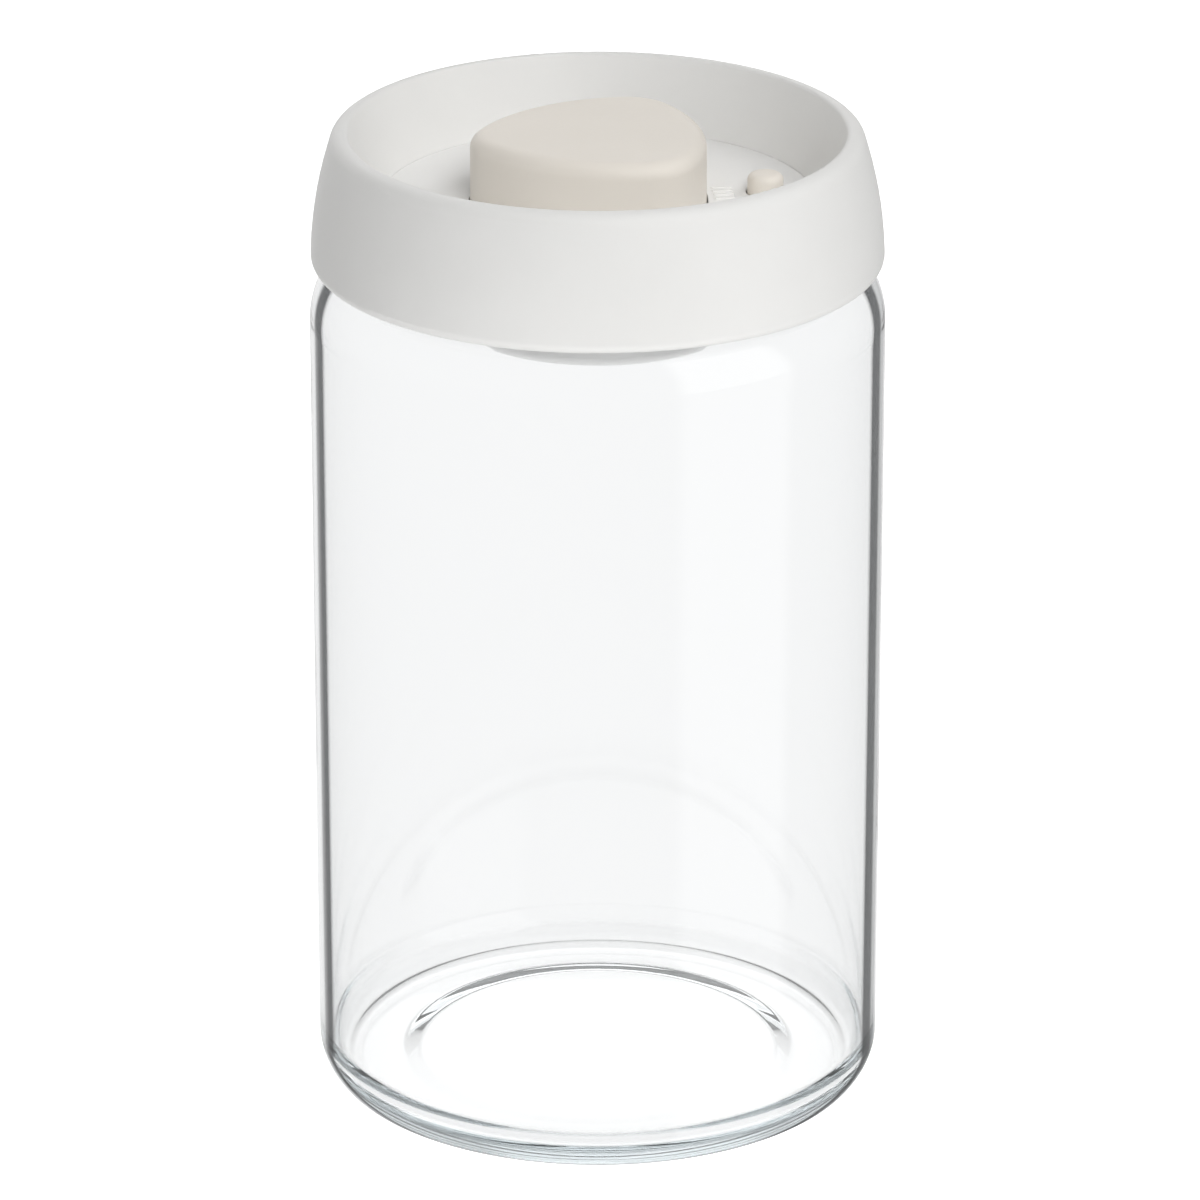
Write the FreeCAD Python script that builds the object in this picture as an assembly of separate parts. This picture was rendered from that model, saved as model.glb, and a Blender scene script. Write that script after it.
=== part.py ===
# Vacuum seal canister: a clear glass jar closed by a lid with a press pump.
# Millimetres, +Z up, origin at the middle of the base, release button on +X.
import FreeCAD, Part
import math
import os

V = FreeCAD.Vector
AXIS = V(0, 0, 1)
FULL_TURN = 360.0

# Clearances shared by the pieces
FIT_GAP = 0.2
SLIDE_GAP = 0.35
SEAT_GAP = 0.1
SEAL_GAP = 0.1
OVERRUN = 1.0
LEVEL_TOLERANCE = 0.01

# Glass jar
JAR_DIAMETER = 112.0
JAR_HEIGHT = 178.2
GLASS_WALL = 2.4
BASE_THICKNESS = 3.8
HEEL_UPPER_ROUND = 10.0
HEEL_LOWER_ROUND = 3.0
HEEL_TURN = 40.0
INNER_HEEL_ROUND = 7.0
FOOT_WIDTH = 12.0
PUNT_DEPTH = 1.0
PUNT_RUN = 4.0
PUNT_ROUND = 6.0
SHOULDER_ROUND = 16.0
NECK_INSET = 5.8
NECK_FILLET = 3.0
NECK_HEIGHT = 6.5
MOUTH_ROUND_SHARE = 0.4

# Lid base, the plug that goes into the mouth
PLUG_GAP = 1.4
PLUG_DEPTH = 9.8
PLUG_FLOOR = 2.0
PLUG_WALL = 4.0
PLUG_ROUND = 0.8
FLANGE_LAP = 1.2
FLANGE_ROUND = 0.5
SEAL_DEPTH = 2.2
SEAL_HEIGHT = 5.0
SEAL_LAND = 2.0
SEAL_LIP_ROOT = 1.2
SEAL_LIP_RISE = 0.5
SEAL_LIP_TIP = 0.5
SEAL_LIP_ROUND = 0.2
SEAL_BODY_DEPTH = 1.5
SEAL_LIP_GAP = 0.25

# Collar, the outer shell of the lid
COLLAR_HEIGHT = 26.4
COLLAR_GAP = 3.2
SKIRT_WALL = 2.36
SKIRT_EDGE_ROUND = 2.0
SKIRT_INNER_ROUND = 0.3
BELLY_INSET = 0.54
BELLY_RISE = 12.75
BELLY_ROUND = 80.0
LIP_INSET = 4.56
LIP_WIDTH = 2.9
LIP_OUTER_SHARE = 1.0
LIP_INNER_SHARE = 0.31
DISH_INSET = 4.1
DISH_DEPTH = 13.9
DISH_WALL = 2.3
SHELF_THICKNESS = 2.0
SHELF_LAP = 2.0
RIM_DEPTH = 4.8
HOLLOW_ROUND = 0.6
RIB_COUNT = 18
RIB_THICKNESS = 1.2
RIB_ROOT = 0.4

# Floor plate of the dish
DECK_THICKNESS = 1.8
DECK_GAP = 0.05
DECK_EDGE_ROUND = 0.12

# Pump button, a rounded triangle of one width all round; its width is a share of the dish's
BUTTON_WIDTH_SHARE = 0.54
BUTTON_CORNER_SHARE = 0.2365
BUTTON_DROP = 0.2
BUTTON_WALL = 2.0
BUTTON_TOP = 2.2
BUTTON_EDGE_ROUND = 3.0
BUTTON_INNER_ROUND = 1.2
BUTTON_BOSS_HEIGHT = 5.8
BUTTON_BOSS_RADIUS = 5.0
VENT_WIDTH = 4.0
VENT_HEIGHT = 1.2

# Pump cylinder and what is clamped with it
STROKE = 9.2
BORE_GAP = 0.5
CYLINDER_WALL = 1.2
CYLINDER_FLOOR = 1.6
CYLINDER_FLANGE = 1.7
CYLINDER_FLANGE_THICKNESS = 1.8
CYLINDER_ROUND = 0.8
GASKET_THICKNESS = 1.0
SEAT_RING_WALL = 1.5

# Piston, its seal and its screw
PISTON_DROP = 2.2
PISTON_HEIGHT = 4.0
PISTON_GAP = 0.3
PISTON_LAND = 1.0
PISTON_SEAL_DEPTH = 2.0
PISTON_SEAL_ROUND = 0.2
PISTON_WEB = 1.6
PISTON_POCKET_INSET = 0.8
TUBE_SHARE = 0.162
TUBE_WALL = 1.6
TUBE_END = 2.0
TUBE_ROUND = 1.0
EXHAUST_ANGLE = 60.0
PISTON_SCREW_RADIUS = 1.4
PISTON_SCREW_HEAD_RADIUS = 3.0
PISTON_SCREW_HEAD_HEIGHT = 1.4
PISTON_SCREW_LENGTH = 6.0

# Umbrella valves of soft rubber; the shares are of the cap's radius
INTAKE_CAP_GAP = 1.45
INTAKE_HOLE_COUNT = 6
EXHAUST_CAP_GAP = 1.2
EXHAUST_HOLE_COUNT = 3
VALVE_CAP_HEIGHT = 1.0
VALVE_RIM_HEIGHT = 0.4
VALVE_BULB_HEIGHT = 0.9
VALVE_STEM_SHARE = 0.25
VALVE_BULB_SHARE = 0.4
VALVE_HOLE_SHARE = 0.17
VALVE_HOLE_CIRCLE_SHARE = 0.58

# Springs
RETURN_WIRE = 1.1
RETURN_SIDE_GAP = 0.45
RETURN_TURNS = 8
RELEASE_WIRE = 0.45
RELEASE_COIL_GAP = 0.9
RELEASE_TURNS = 4
ARC_POINTS = 5
ARCS_APART = 3

# Filter under the pump
FILTER_SPACE = 1.5
FILTER_THICKNESS = 0.5
CAP_FLOOR = 1.4
CAP_WALL = 1.0
CAP_GRIP = 3.0
CAP_EDGE_ROUND = 2.0
CAP_LIP_ROUND = 0.4
SLOT_COUNT = 18
SLOT_WIDTH = 1.6
SLOT_START_SHARE = 0.34
SLOT_END_SHARE = 0.8

# Cross recess of every screw; the shares are of the head's radius and height
RECESS_LENGTH_SHARE = 1.1
RECESS_WIDTH_SHARE = 0.26
RECESS_DEPTH_SHARE = 0.6

# Screws that clamp the lid together
SCREW_COUNT = 6
SCREW_FIRST_ANGLE = 30.0
SCREW_CIRCLE_SHARE = 0.64
SCREW_RADIUS = 1.25
SCREW_HEAD_RADIUS = 2.6
SCREW_HEAD_HEIGHT = 1.1
SCREW_HEAD_ROUND = 0.4
SCREW_LENGTH = 6.5
SCREW_GAP = 0.05
BOSS_RADIUS = 3.2

# Air release valve
RELEASE_TRAVEL = 2.5
RELEASE_LEDGE = 0.5
RELEASE_SHARE = 0.0828
RELEASE_RISE = 3.9
RELEASE_EDGE_ROUND = 1.5
RELEASE_FLANGE = 0.6
RELEASE_FLANGE_THICKNESS = 1.5
STEM_RADIUS = 1.5
STEM_GRIP = 5.0
STEM_GAP = 0.05
GUIDE_AIR_GAP = 0.45
GUIDE_WALL = 1.5
RELEASE_SEAL_RADIUS = 4.2
RELEASE_SEAL_THICKNESS = 1.7
RELEASE_SEAL_ROUND = 0.4
CLIP_RADIUS = 3.0
CLIP_THICKNESS = 0.6
STEM_TAIL = 0.5

# Jar levels and radii
jar_radius = JAR_DIAMETER / 2
neck_radius = jar_radius - NECK_INSET
mouth_radius = neck_radius - GLASS_WALL
shoulder_turn = math.acos(1 - NECK_INSET / (SHOULDER_ROUND + NECK_FILLET))
shoulder_rise = (SHOULDER_ROUND + NECK_FILLET) * math.sin(shoulder_turn)
shoulder_top = JAR_HEIGHT - NECK_HEIGHT
shoulder_z = shoulder_top - shoulder_rise

# Lid levels
lid_z = JAR_HEIGHT + SEAT_GAP
shelf_top = lid_z + SHELF_THICKNESS
deck_top = shelf_top + DECK_THICKNESS
crest_z = deck_top + DISH_DEPTH
collar_z = crest_z - COLLAR_HEIGHT
plug_z = lid_z - PLUG_DEPTH
plug_floor_top = plug_z + PLUG_FLOOR

# Pump levels
piston_top = lid_z - PISTON_DROP
piston_z = piston_top - PISTON_HEIGHT
cylinder_floor_top = piston_z - STROKE - VALVE_BULB_HEIGHT - SLIDE_GAP
cylinder_z = cylinder_floor_top - CYLINDER_FLOOR
cylinder_flange_z = lid_z - CYLINDER_FLANGE_THICKNESS
seat_ring_top = cylinder_flange_z - GASKET_THICKNESS
cap_floor_top = cylinder_z - FILTER_SPACE
cap_z = cap_floor_top - CAP_FLOOR
cap_top = cylinder_z + CAP_GRIP
button_top = crest_z - BUTTON_DROP
button_ceiling = button_top - BUTTON_TOP
tube_top = button_ceiling - BUTTON_BOSS_HEIGHT
tube_ceiling = tube_top - TUBE_END
pocket_z = piston_z + PISTON_WEB

# Lid radii, from the neck inwards
plug_radius = mouth_radius - PLUG_GAP
plug_inner = plug_radius - PLUG_WALL
flange_radius = neck_radius + FLANGE_LAP
skirt_inner = neck_radius + COLLAR_GAP
collar_radius = skirt_inner + SKIRT_WALL
dish_radius = plug_radius - DISH_INSET
dish_outer = dish_radius + DISH_WALL
deck_radius = dish_radius - DECK_GAP

# Pump radii, from the button outwards
button_width = 2 * dish_radius * BUTTON_WIDTH_SHARE
button_corner = button_width * BUTTON_CORNER_SHARE
button_core = button_width - 2 * button_corner
corner_distance = button_core / math.sqrt(3)
button_reach = corner_distance + button_corner
button_flat = button_width - button_reach
bore_radius = button_reach + BORE_GAP
cylinder_radius = bore_radius + CYLINDER_WALL
cylinder_flange_radius = cylinder_radius + CYLINDER_FLANGE
seat_ring_inner = cylinder_radius + FIT_GAP
seat_ring_outer = seat_ring_inner + SEAT_RING_WALL
shelf_inner = cylinder_flange_radius - SHELF_LAP
cap_inner = cylinder_radius + FIT_GAP
cap_radius = cap_inner + CAP_WALL
piston_radius = bore_radius - PISTON_GAP
tube_radius = button_width * TUBE_SHARE
tube_outer = tube_radius + TUBE_WALL
pocket_radius = button_flat - BUTTON_WALL - PISTON_POCKET_INSET
exhaust_x = (tube_outer + pocket_radius) / 2
exhaust_cap = (pocket_radius - tube_outer) / 2 - EXHAUST_CAP_GAP
spring_radius = tube_radius - RETURN_SIDE_GAP - RETURN_WIRE / 2
intake_cap = spring_radius - RETURN_WIRE / 2 - INTAKE_CAP_GAP

# Places between the pump and the plug's wall
free_ring = plug_inner - cylinder_flange_radius
screw_circle = cylinder_flange_radius + SCREW_CIRCLE_SHARE * free_ring
release_radius = dish_radius * RELEASE_SHARE
release_flange_radius = release_radius + RELEASE_FLANGE
release_x = cylinder_flange_radius + RELEASE_LEDGE + release_flange_radius
screw_angles = [SCREW_FIRST_ANGLE + FULL_TURN * i / SCREW_COUNT for i in range(SCREW_COUNT)]
release_well = release_flange_radius + SLIDE_GAP
screw_seat_z = shelf_top - SCREW_HEAD_HEIGHT - SEAT_GAP

# Collar outline points that several pieces share
belly_radius = collar_radius - BELLY_INSET
belly_z = collar_z + BELLY_RISE
lip_outer = collar_radius - LIP_INSET
lip_inner = lip_outer - LIP_WIDTH
hollow_z = crest_z - RIM_DEPTH
dish_slope = (lip_inner - dish_radius) / DISH_DEPTH
skirt_slope = (lip_outer - belly_radius) / (crest_z - belly_z)
hollow_inner = dish_radius + dish_slope * (hollow_z - deck_top) + DISH_WALL
hollow_outer = belly_radius + skirt_slope * (hollow_z - belly_z) - SKIRT_WALL

# Air release levels
release_top = deck_top + RELEASE_RISE
release_flange_top = shelf_top - SEAT_GAP
release_flange_z = release_flange_top - RELEASE_FLANGE_THICKNESS
release_pressed_z = release_flange_z - RELEASE_TRAVEL
guide_top = release_pressed_z - RELEASE_WIRE * (RELEASE_TURNS + 1) - SLIDE_GAP
guide_radius = STEM_RADIUS + GUIDE_AIR_GAP
release_seal_top = plug_z - SEAT_GAP
release_seal_z = release_seal_top - RELEASE_SEAL_THICKNESS
clip_z = release_seal_z - CLIP_THICKNESS
stem_z = clip_z - STEM_TAIL
stem_top = release_flange_z + STEM_GRIP


def fitted_reaches(spots, rounds):
    """Tangent length of each corner's arc, shortened where two arcs would meet on one side."""
    count = len(spots)
    halves = []
    reaches = []
    for i in range(count):
        back = spots[i - 1] - spots[i]
        ahead = spots[(i + 1) % count] - spots[i]
        half = back.getAngle(ahead) / 2
        halves.append(half)
        reaches.append(rounds[i] / math.tan(half))
    for i in range(count):
        after = (i + 1) % count
        side = (spots[after] - spots[i]).Length
        both = reaches[i] + reaches[after]
        if both > side:
            reaches[i] *= side / both
            reaches[after] *= side / both
    return halves, reaches


def rounded_outline(corners):
    """Closed wire in the XZ plane through (radius, z, round) corners, each turned on its own arc."""
    spots = [V(r, 0, z) for r, z, _ in corners]
    halves, reaches = fitted_reaches(spots, [round_ for _, _, round_ in corners])
    edges = []
    ends = []
    for i, spot in enumerate(spots):
        back = (spots[i - 1] - spot).normalize()
        ahead = (spots[(i + 1) % len(spots)] - spot).normalize()
        start = spot + back * reaches[i]
        end = spot + ahead * reaches[i]
        if reaches[i] > 0:
            radius = reaches[i] * math.tan(halves[i])
            inward = (back + ahead).normalize()
            middle = spot + inward * (radius / math.sin(halves[i]) - radius)
            edges.append(Part.Arc(start, middle, end).toShape())
        ends.append((start, end))
    for i, (_, end) in enumerate(ends):
        start = ends[(i + 1) % len(ends)][0]
        if not start.isEqual(end, Part.Precision.confusion()):
            edges.append(Part.LineSegment(end, start).toShape())
    return Part.Wire(Part.__sortEdges__(edges))


def turned(corners):
    """Solid of revolution about Z."""
    return Part.Face(rounded_outline(corners)).revolve(V(), AXIS, FULL_TURN)


def extruded(corners, thickness):
    """Flat piece in the XZ plane, centred on it and as thick as given."""
    piece = Part.Face(rounded_outline(corners)).extrude(V(0, thickness, 0))
    piece.translate(V(0, -thickness / 2, 0))
    return piece


def post(radius, low, high, x=0, y=0):
    """Upright cylinder between two levels."""
    return Part.makeCylinder(radius, high - low, V(x, y, low))


def around(shape, angles):
    """Copies of a shape turned about Z."""
    copies = []
    for angle in angles:
        copy = shape.copy()
        copy.rotate(V(), AXIS, angle)
        copies.append(copy)
    return copies


def evenly(count):
    """Angles of a pattern of so many copies in a full turn."""
    return [FULL_TURN * i / count for i in range(count)]


def moved(shape, x, angle=0):
    """Shape shifted along X and then turned about Z."""
    shape.translate(V(x, 0, 0))
    shape.rotate(V(), AXIS, angle)
    return shape


def triangle_outline(grow, z):
    """Outline of the pump button, offset outwards by grow: three wide arcs and three corner arcs."""
    def spot(center, radius, angle):
        turn = math.radians(angle)
        return center + V(math.cos(turn), math.sin(turn), 0) * radius

    side_angle = FULL_TURN / 3
    step = side_angle / 4
    edges = []
    for i in range(3):
        facing = FULL_TURN / 2 + side_angle * i
        corner = spot(V(0, 0, z), corner_distance, facing)
        across = spot(V(0, 0, z), corner_distance, facing - side_angle)
        small = [spot(corner, button_corner + grow, facing + step * k) for k in (-1, 0, 1)]
        wide = button_core + button_corner + grow
        large = [spot(across, wide, facing + step * k) for k in (1, 2, 3)]
        edges.append(Part.Arc(*small).toShape())
        edges.append(Part.Arc(*large).toShape())
    return Part.Wire(edges)


def triangle_block(grow, low, high):
    """Prism on the pump button's outline."""
    return Part.Face(triangle_outline(grow, low)).extrude(V(0, 0, high - low))


def rounded_top(block, top, radius):
    """Block whose edges at the given level are rounded."""
    edges = []
    for edge in block.Edges:
        box = edge.BoundBox
        if max(abs(box.ZMin - top), abs(box.ZMax - top)) < LEVEL_TOLERANCE:
            edges.append(edge)
    return block.makeFillet(radius, edges)


def arc_from_tangent(start, tangent, end):
    """Arc that leaves start along tangent and reaches end."""
    chord = end - start
    lean = tangent.getAngle(chord)
    side = (tangent - chord.normalize() * math.cos(lean)).normalize()
    half = (end - start).Length / 2
    middle = (start + end) * 0.5 + side * (half * math.tan(lean / 2))
    return Part.Arc(start, middle, end).toShape()


def coil(middle_radius, wire, low, high, turns):
    """Compression spring between two levels, one tube on two arcs to each half turn."""
    rise = (high - low - wire) / turns

    def spot(turn):
        angle = 2 * math.pi * turn
        height = low + wire / 2 + rise * turn
        return V(middle_radius * math.cos(angle), middle_radius * math.sin(angle), height)

    def heading(turn):
        angle = 2 * math.pi * turn
        return V(-math.sin(angle), math.cos(angle), rise / (2 * math.pi * middle_radius)).normalize()

    edges = []
    for i in range(2 * turns):
        start, end = spot(i / 2), spot((i + 1) / 2)
        leave, arrive = heading(i / 2), heading((i + 1) / 2)
        chord = end - start
        bend = 2 * (1 - leave.dot(arrive))
        along = chord.dot(leave + arrive)
        reach = (math.sqrt(along * along + bend * chord.dot(chord)) - along) / bend
        meeting = (start + leave * reach + end - arrive * reach) * 0.5
        edges.append(arc_from_tangent(start, leave, meeting))
        edges.append(arc_from_tangent(end, arrive * -1, meeting))
    section = Part.Wire(Part.Circle(spot(0), heading(0), wire / 2).toShape())
    path = Part.Wire(Part.__sortEdges__(edges))
    samples = [p for e in path.Edges for p in e.discretize(ARC_POINTS)]
    ahead = ARC_POINTS * ARCS_APART
    apart = [(p - q).Length for i, p in enumerate(samples) for q in samples[i + ahead:]]
    print("least gap between the spring's turns", round(min(apart) - wire, 2))
    return path.makePipeShell([section], True, False)


def glass_jar():
    """Pressed glass jar with a foot ring, a round shoulder and a straight neck."""
    heel = math.radians(HEEL_TURN)
    upper_reach = HEEL_UPPER_ROUND * math.tan(heel / 2)
    lower_reach = HEEL_LOWER_ROUND * math.tan((math.pi / 2 - heel) / 2)
    heel_side = upper_reach + lower_reach
    heel_radius = jar_radius - heel_side * math.sin(heel)
    heel_z = heel_side * math.cos(heel)
    foot_inner = heel_radius - lower_reach - FOOT_WIDTH
    bend = math.tan(shoulder_turn / 2)
    inner_shoulder = SHOULDER_ROUND - GLASS_WALL
    inner_neck = NECK_FILLET + GLASS_WALL
    inner_radius = jar_radius - GLASS_WALL
    mouth_round = GLASS_WALL * MOUTH_ROUND_SHARE
    return turned([
        (0, PUNT_DEPTH, 0),
        (foot_inner - PUNT_RUN, PUNT_DEPTH, PUNT_ROUND),
        (foot_inner, 0, PUNT_ROUND),
        (heel_radius, 0, HEEL_LOWER_ROUND),
        (jar_radius, heel_z, HEEL_UPPER_ROUND),
        (jar_radius, shoulder_z + SHOULDER_ROUND * bend, SHOULDER_ROUND),
        (neck_radius, shoulder_top - NECK_FILLET * bend, NECK_FILLET),
        (neck_radius, JAR_HEIGHT, mouth_round),
        (mouth_radius, JAR_HEIGHT, mouth_round),
        (mouth_radius, shoulder_top - inner_neck * bend, inner_neck),
        (inner_radius, shoulder_z + inner_shoulder * bend, inner_shoulder),
        (inner_radius, BASE_THICKNESS, INNER_HEEL_ROUND),
        (0, BASE_THICKNESS, 0),
    ])


def lid_collar():
    """Double-walled shell: bowed skirt, rolled rim, sloping dish wall and a shelf inside."""
    shell = turned([
        (skirt_inner, collar_z, SKIRT_INNER_ROUND),
        (collar_radius, collar_z, SKIRT_EDGE_ROUND),
        (belly_radius, belly_z, BELLY_ROUND),
        (lip_outer, crest_z, LIP_WIDTH * LIP_OUTER_SHARE),
        (lip_inner, crest_z, LIP_WIDTH * LIP_INNER_SHARE),
        (dish_radius, deck_top, 0),
        (dish_radius, shelf_top, 0),
        (shelf_inner, shelf_top, 0),
        (shelf_inner, lid_z, 0),
        (dish_outer, lid_z, 0),
        (dish_outer, deck_top, HOLLOW_ROUND),
        (hollow_inner, hollow_z, HOLLOW_ROUND),
        (hollow_outer, hollow_z, HOLLOW_ROUND),
        (belly_radius - SKIRT_WALL, belly_z, BELLY_ROUND - SKIRT_WALL),
    ])
    rib_z = shelf_top + FIT_GAP
    rib = extruded([
        (dish_outer - RIB_ROOT, rib_z, 0),
        (belly_radius - SKIRT_WALL + RIB_ROOT, rib_z, 0),
        (hollow_outer + RIB_ROOT, hollow_z + RIB_ROOT, 0),
        (hollow_inner - RIB_ROOT, hollow_z + RIB_ROOT, 0),
        (dish_outer - RIB_ROOT, deck_top, 0),
    ], RIB_THICKNESS)
    shell = shell.fuse(around(rib, evenly(RIB_COUNT)))
    cuts = [post(release_well, lid_z - OVERRUN, shelf_top + OVERRUN, release_x)]
    shank = post(SCREW_RADIUS + FIT_GAP, lid_z - OVERRUN, shelf_top + OVERRUN, screw_circle)
    head = post(SCREW_HEAD_RADIUS + FIT_GAP, screw_seat_z, shelf_top + OVERRUN, screw_circle)
    cuts += around(shank, screw_angles) + around(head, screw_angles)
    return shell.cut(cuts)


def dish_floor_plate():
    """Floor of the dish, with crescents below it that guide the button and stop the piston."""
    plate = turned([
        (0, shelf_top, 0),
        (deck_radius, shelf_top, 0),
        (deck_radius, deck_top, DECK_EDGE_ROUND),
        (0, deck_top, 0),
    ])
    guides = post(button_reach, piston_top + SEAT_GAP, shelf_top + DECK_THICKNESS / 2)
    opening = triangle_block(SLIDE_GAP, piston_top - OVERRUN, deck_top + OVERRUN)
    release = post(release_radius + SLIDE_GAP, shelf_top - OVERRUN, deck_top + OVERRUN, release_x)
    return plate.fuse(guides).cut([opening, release])


def lid_base():
    """Plug with its flange, seal groove, pump seat, screw bosses and release guide."""
    groove_top = lid_z - SEAL_LAND
    groove_z = groove_top - SEAL_HEIGHT
    groove_radius = plug_radius - SEAL_DEPTH
    flange_inner = dish_outer + FIT_GAP
    body = turned([
        (seat_ring_inner, plug_z, 0),
        (plug_radius, plug_z, PLUG_ROUND),
        (plug_radius, groove_z, 0),
        (groove_radius, groove_z, 0),
        (groove_radius, groove_top, 0),
        (plug_radius, groove_top, 0),
        (plug_radius, lid_z, 0),
        (flange_radius, lid_z, FLANGE_ROUND),
        (flange_radius, shelf_top, FLANGE_ROUND),
        (flange_inner, shelf_top, 0),
        (flange_inner, lid_z, 0),
        (plug_inner, lid_z, 0),
        (plug_inner, plug_floor_top, PLUG_ROUND),
        (seat_ring_outer, plug_floor_top, PLUG_ROUND),
        (seat_ring_outer, seat_ring_top, 0),
        (seat_ring_inner, seat_ring_top, 0),
    ])
    boss = post(BOSS_RADIUS, plug_z + PLUG_FLOOR / 2, lid_z, screw_circle)
    guide = post(guide_radius + GUIDE_WALL, plug_z + PLUG_FLOOR / 2, guide_top, release_x)
    hole_z = screw_seat_z - SCREW_LENGTH - FIT_GAP
    hole = post(SCREW_RADIUS + SCREW_GAP, hole_z, lid_z + OVERRUN, screw_circle)
    passage = post(guide_radius, plug_z - OVERRUN, guide_top + OVERRUN, release_x)
    body = body.fuse(around(boss, screw_angles) + [guide])
    return body.cut(around(hole, screw_angles) + [passage])


def main_seal():
    """Rubber ring in the plug's groove, with two lips towards the neck."""
    top = lid_z - SEAL_LAND - SEAT_GAP
    low = lid_z - SEAL_LAND - SEAL_HEIGHT + SEAT_GAP
    inner = plug_radius - SEAL_DEPTH + SEAT_GAP
    body = inner + SEAL_BODY_DEPTH
    lip = mouth_radius - SEAL_LIP_GAP
    pitch = (top - low) / 2
    corners = [(inner, low, 0)]
    for i in range(2):
        root = low + pitch * i
        tip = root + SEAL_LIP_ROOT + SEAL_LIP_RISE
        corners += [
            (body, root, 0),
            (lip, tip - SEAL_LIP_TIP, SEAL_LIP_ROUND),
            (lip, tip, SEAL_LIP_ROUND),
            (body, root + SEAL_LIP_ROOT, 0),
        ]
    return turned(corners + [(body, top, 0), (inner, top, 0)])


def cylinder_gasket():
    """Flat rubber ring under the cylinder's flange."""
    return turned([
        (seat_ring_inner, seat_ring_top, 0),
        (cylinder_flange_radius, seat_ring_top, 0),
        (cylinder_flange_radius, cylinder_flange_z, 0),
        (seat_ring_inner, cylinder_flange_z, 0),
    ])


def pump_cylinder():
    """Cup that the piston runs in; its wall goes on below the floor and carries the filter cap."""
    cup = turned([
        (0, cylinder_z, 0),
        (bore_radius, cylinder_z, 0),
        (bore_radius, cap_floor_top, 0),
        (cylinder_radius, cap_floor_top, 0),
        (cylinder_radius, cylinder_flange_z, 0),
        (cylinder_flange_radius, cylinder_flange_z, 0),
        (cylinder_flange_radius, lid_z, 0),
        (bore_radius, lid_z, 0),
        (bore_radius, cylinder_floor_top, CYLINDER_ROUND),
        (0, cylinder_floor_top, 0),
    ])
    return cup.cut(valve_holes(intake_cap, INTAKE_HOLE_COUNT, cylinder_z, cylinder_floor_top))


def umbrella_valve(valve_radius, seat_z, floor):
    """Rubber valve: a thin domed cap on a floor, with a stem through it and a bulb below."""
    under = seat_z - floor
    stem = valve_radius * VALVE_STEM_SHARE
    bulb = valve_radius * VALVE_BULB_SHARE
    return turned([
        (0, under - VALVE_BULB_HEIGHT, 0),
        (stem, under - VALVE_BULB_HEIGHT, 0),
        (bulb, under, 0),
        (stem, under, 0),
        (stem, seat_z, 0),
        (valve_radius, seat_z, 0),
        (valve_radius, seat_z + VALVE_RIM_HEIGHT, 0),
        (bulb, seat_z + VALVE_CAP_HEIGHT, valve_radius),
        (0, seat_z + VALVE_CAP_HEIGHT, 0),
    ])


def valve_holes(valve_radius, count, low, high):
    """Cutters for an umbrella valve's stem and for the ring of air holes under its cap."""
    low, high = low - OVERRUN, high + OVERRUN
    stem = post(valve_radius * VALVE_STEM_SHARE + STEM_GAP, low, high)
    hole = post(valve_radius * VALVE_HOLE_SHARE, low, high, valve_radius * VALVE_HOLE_CIRCLE_SHARE)
    return around(hole, evenly(count)) + [stem]


def filter_mesh():
    """Round filter under the pump's intake."""
    return post(bore_radius - FIT_GAP, cap_floor_top, cap_floor_top + FILTER_THICKNESS)


def filter_cap():
    """Shallow cup pushed over the cylinder's lower end, slotted to let the air in."""
    cup = turned([
        (0, cap_z, 0),
        (cap_radius, cap_z, CAP_EDGE_ROUND),
        (cap_radius, cap_top, CAP_LIP_ROUND),
        (cap_inner, cap_top, 0),
        (cap_inner, cap_floor_top, 0),
        (0, cap_floor_top, 0),
    ])
    start = cap_inner * SLOT_START_SHARE
    end = cap_inner * SLOT_END_SHARE
    low, high = cap_z - OVERRUN, cap_floor_top + OVERRUN
    slot = Part.makeBox(end - start, SLOT_WIDTH, high - low, V(start, -SLOT_WIDTH / 2, low))
    slot = slot.fuse([post(SLOT_WIDTH / 2, low, high, start), post(SLOT_WIDTH / 2, low, high, end)])
    return cup.cut(around(slot.removeSplitter(), evenly(SLOT_COUNT)))


def pump_button():
    """Hollow button with rounded top edges, a boss for the piston and vents in its skirt."""
    block = rounded_top(triangle_block(0, piston_top, button_top), button_top, BUTTON_EDGE_ROUND)
    hollow = triangle_block(-BUTTON_WALL, piston_top - OVERRUN, button_ceiling)
    hollow = rounded_top(hollow, button_ceiling, BUTTON_INNER_ROUND)
    boss = post(BUTTON_BOSS_RADIUS, tube_top, button_ceiling + BUTTON_TOP / 2)
    thread_top = tube_ceiling + PISTON_SCREW_LENGTH + FIT_GAP
    thread = post(PISTON_SCREW_RADIUS + SCREW_GAP, tube_top - OVERRUN, thread_top)
    vent = Part.makeBox(button_width, VENT_WIDTH, VENT_HEIGHT, V(0, -VENT_WIDTH / 2, piston_top))
    vents = around(vent, [FULL_TURN / 6 + a for a in evenly(3)])
    return block.cut([hollow] + vents).fuse(boss).cut(thread)


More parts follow.
